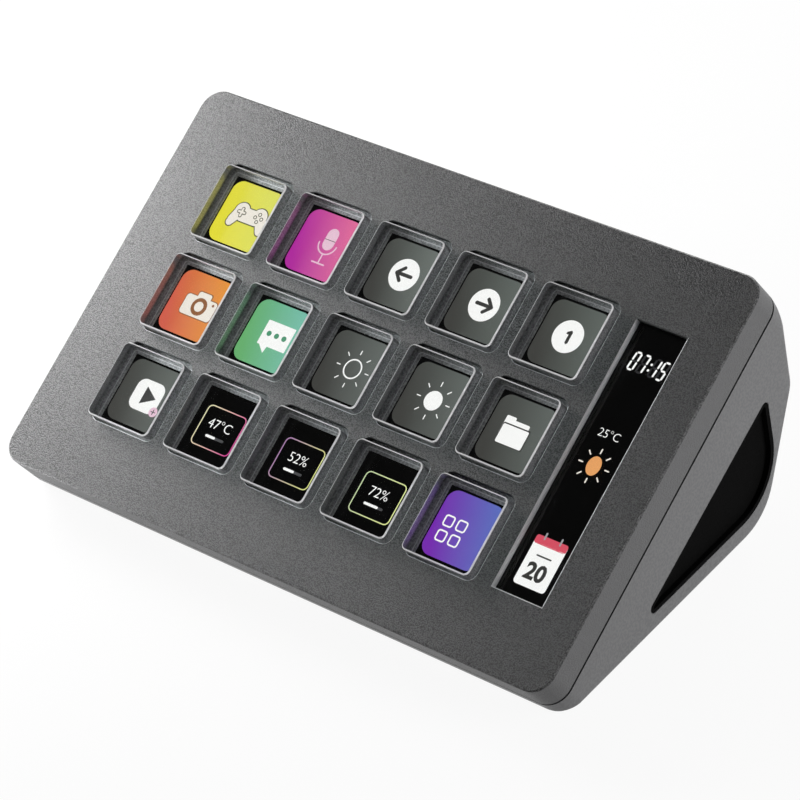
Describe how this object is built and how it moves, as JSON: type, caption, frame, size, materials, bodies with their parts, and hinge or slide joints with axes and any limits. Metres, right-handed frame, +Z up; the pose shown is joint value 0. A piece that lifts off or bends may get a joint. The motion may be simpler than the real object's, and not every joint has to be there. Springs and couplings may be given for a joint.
{
  "type": "macro keypad",
  "caption": "Desk macro keypad: clear sprung display keys and a strip display on the tilted face of a wedge-shaped stand, with a USB-C inlet at the back.",
  "frame": {"origin": "on the table, under the middle of the keypad's box", "axes": "+X to the right as the user faces the keys, +Y to the back, +Z up; the key face leans back by 61.6 degrees from upright and looks along (0, -0.4756, 0.8797)"},
  "size_m": [0.136, 0.0768, 0.0496],
  "materials": {
    "key_clear": "clear polished moulding",
    "cover": "fine spark texture, satin",
    "shell": "smooth satin moulding",
    "lens": "clear polished sheet",
    "foam": "matt closed-cell foam",
    "silicone": "matt moulded silicone",
    "film": "printed polyester sheet",
    "display": "dark display glass",
    "ribbon": "amber polyimide",
    "tray": "pressed zinc-plated sheet",
    "circuit_board": "green solder mask",
    "chips": "moulded epoxy",
    "sockets": "ivory nylon",
    "screws": "zinc-plated steel",
    "inlay": "matt black",
    "feet": "matt rubber",
    "socket_shell": "nickel-plated steel",
    "cable_sheath": "flat flexible sheath"
  },
  "bodies": {
    "housing": {"front_cover": "cover", "strip_lens": "lens", "strip_gasket": "foam", "key_mat": "silicone", "contact_film": "film", "lcd_panel": "display", "lcd_ribbon": "ribbon", "lcd_tray": "tray", "main_board": "circuit_board", "board_chips": "chips", "board_sockets": "sockets", "tray_screws": "screws", "case_screws": "screws", "board_screws": "screws", "inlet_screws": "screws", "rear_shell": "shell", "side_inlay_left": "inlay", "side_inlay_right": "inlay", "foot_front_left": "feet", "foot_front_right": "feet", "foot_rear_left": "feet", "foot_rear_right": "feet", "usb_board": "circuit_board", "usb_socket": "socket_shell", "usb_tongue": "chips", "inlet_plug": "sockets", "inlet_cable": "cable_sheath"},
    "key_r1_c1": {"key_r1_c1": "key_clear"},
    "key_r1_c2": {"key_r1_c2": "key_clear"},
    "key_r1_c3": {"key_r1_c3": "key_clear"},
    "key_r1_c4": {"key_r1_c4": "key_clear"},
    "key_r1_c5": {"key_r1_c5": "key_clear"},
    "key_r2_c1": {"key_r2_c1": "key_clear"},
    "key_r2_c2": {"key_r2_c2": "key_clear"},
    "key_r2_c3": {"key_r2_c3": "key_clear"},
    "key_r2_c4": {"key_r2_c4": "key_clear"},
    "key_r2_c5": {"key_r2_c5": "key_clear"},
    "key_r3_c1": {"key_r3_c1": "key_clear"},
    "key_r3_c2": {"key_r3_c2": "key_clear"},
    "key_r3_c3": {"key_r3_c3": "key_clear"},
    "key_r3_c4": {"key_r3_c4": "key_clear"},
    "key_r3_c5": {"key_r3_c5": "key_clear"}
  },
  "joints": [
    {"name": "press_r1_c1", "type": "slide", "parent": "housing", "child": "key_r1_c1", "axis": [0, 0.4756, -0.8796], "range_m": [0, 0.0006], "stiffness_N_per_m": 300, "springref_m": -0.0008},
    {"name": "press_r1_c2", "type": "slide", "parent": "housing", "child": "key_r1_c2", "axis": [0, 0.4756, -0.8796], "range_m": [0, 0.0006], "stiffness_N_per_m": 300, "springref_m": -0.0008},
    {"name": "press_r1_c3", "type": "slide", "parent": "housing", "child": "key_r1_c3", "axis": [0, 0.4756, -0.8796], "range_m": [0, 0.0006], "stiffness_N_per_m": 300, "springref_m": -0.0008},
    {"name": "press_r1_c4", "type": "slide", "parent": "housing", "child": "key_r1_c4", "axis": [0, 0.4756, -0.8796], "range_m": [0, 0.0006], "stiffness_N_per_m": 300, "springref_m": -0.0008},
    {"name": "press_r1_c5", "type": "slide", "parent": "housing", "child": "key_r1_c5", "axis": [0, 0.4756, -0.8796], "range_m": [0, 0.0006], "stiffness_N_per_m": 300, "springref_m": -0.0008},
    {"name": "press_r2_c1", "type": "slide", "parent": "housing", "child": "key_r2_c1", "axis": [0, 0.4756, -0.8796], "range_m": [0, 0.0006], "stiffness_N_per_m": 300, "springref_m": -0.0008},
    {"name": "press_r2_c2", "type": "slide", "parent": "housing", "child": "key_r2_c2", "axis": [0, 0.4756, -0.8796], "range_m": [0, 0.0006], "stiffness_N_per_m": 300, "springref_m": -0.0008},
    {"name": "press_r2_c3", "type": "slide", "parent": "housing", "child": "key_r2_c3", "axis": [0, 0.4756, -0.8796], "range_m": [0, 0.0006], "stiffness_N_per_m": 300, "springref_m": -0.0008},
    {"name": "press_r2_c4", "type": "slide", "parent": "housing", "child": "key_r2_c4", "axis": [0, 0.4756, -0.8796], "range_m": [0, 0.0006], "stiffness_N_per_m": 300, "springref_m": -0.0008},
    {"name": "press_r2_c5", "type": "slide", "parent": "housing", "child": "key_r2_c5", "axis": [0, 0.4756, -0.8796], "range_m": [0, 0.0006], "stiffness_N_per_m": 300, "springref_m": -0.0008},
    {"name": "press_r3_c1", "type": "slide", "parent": "housing", "child": "key_r3_c1", "axis": [0, 0.4756, -0.8796], "range_m": [0, 0.0006], "stiffness_N_per_m": 300, "springref_m": -0.0008},
    {"name": "press_r3_c2", "type": "slide", "parent": "housing", "child": "key_r3_c2", "axis": [0, 0.4756, -0.8796], "range_m": [0, 0.0006], "stiffness_N_per_m": 300, "springref_m": -0.0008},
    {"name": "press_r3_c3", "type": "slide", "parent": "housing", "child": "key_r3_c3", "axis": [0, 0.4756, -0.8796], "range_m": [0, 0.0006], "stiffness_N_per_m": 300, "springref_m": -0.0008},
    {"name": "press_r3_c4", "type": "slide", "parent": "housing", "child": "key_r3_c4", "axis": [0, 0.4756, -0.8796], "range_m": [0, 0.0006], "stiffness_N_per_m": 300, "springref_m": -0.0008},
    {"name": "press_r3_c5", "type": "slide", "parent": "housing", "child": "key_r3_c5", "axis": [0, 0.4756, -0.8796], "range_m": [0, 0.0006], "stiffness_N_per_m": 300, "springref_m": -0.0008}
  ]
}
